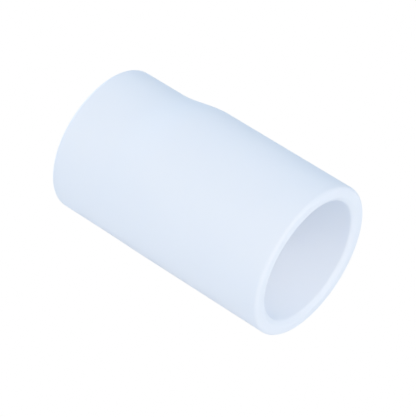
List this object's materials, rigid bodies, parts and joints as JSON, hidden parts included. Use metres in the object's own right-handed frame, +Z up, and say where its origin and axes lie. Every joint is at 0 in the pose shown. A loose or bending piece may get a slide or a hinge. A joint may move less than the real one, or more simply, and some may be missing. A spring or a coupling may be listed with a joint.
{
  "type": "push fit pipe coupling",
  "caption": "Short white plastic tube that joins two plain pipe ends, each pushed into a socket with a rubber ring; one barrel is slightly wider and offset from the other.",
  "frame": {"origin": "on the surface that the tube lies on, under the middle of its length, below both barrels' shared straight line", "axes": "+X along the tube, out of the large socket's mouth; +Z up, from the straight line underneath towards the step on top; +Y across"},
  "size_m": [0.0442, 0.027, 0.027],
  "materials": {
    "moulded_plastic": "smooth moulded white plastic with a cool tint, semi-gloss",
    "ring_rubber": "black moulded rubber, lightly lubricated"
  },
  "bodies": {
    "root": {"coupling_body": "moulded_plastic", "large_seal_ring": "ring_rubber", "small_seal_ring": "ring_rubber"}
  },
  "joints": []
}
